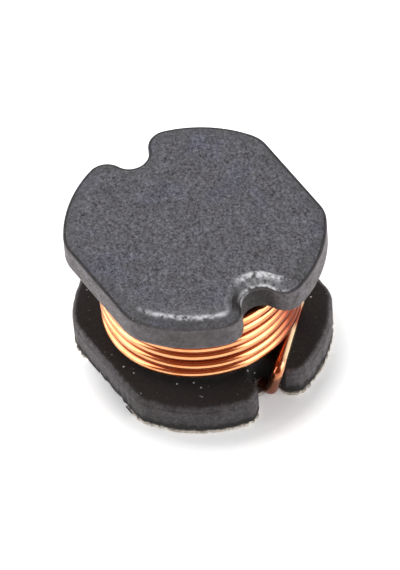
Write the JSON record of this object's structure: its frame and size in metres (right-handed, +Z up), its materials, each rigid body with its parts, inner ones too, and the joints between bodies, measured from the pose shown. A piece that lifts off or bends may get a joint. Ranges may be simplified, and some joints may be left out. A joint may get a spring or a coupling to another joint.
{
  "type": "drum core smd inductor",
  "caption": "Unshielded surface-mount power inductor: a ferrite drum core wound with enamelled copper wire whose ends are soldered to flat terminals underneath.",
  "frame": {"origin": "centre of the underside, on the plane of the two terminals", "axes": "+X along the axis through both notches, towards the notch where the wire leaves the bottom of the winding; +Y across the flats; +Z up from the terminals to the pick-up face"},
  "size_m": [0.0076, 0.007, 0.005],
  "materials": {
    "ferrite": "as pressed and sintered",
    "enamelled_copper": "clear enamel",
    "tin_plate": "dull tin",
    "solder": "solidified solder"
  },
  "bodies": {
    "root": {"ferrite_core": "ferrite", "winding": "enamelled_copper", "terminal_front": "tin_plate", "terminal_rear": "tin_plate", "solder_joint_front": "solder", "solder_joint_rear": "solder"}
  },
  "joints": []
}
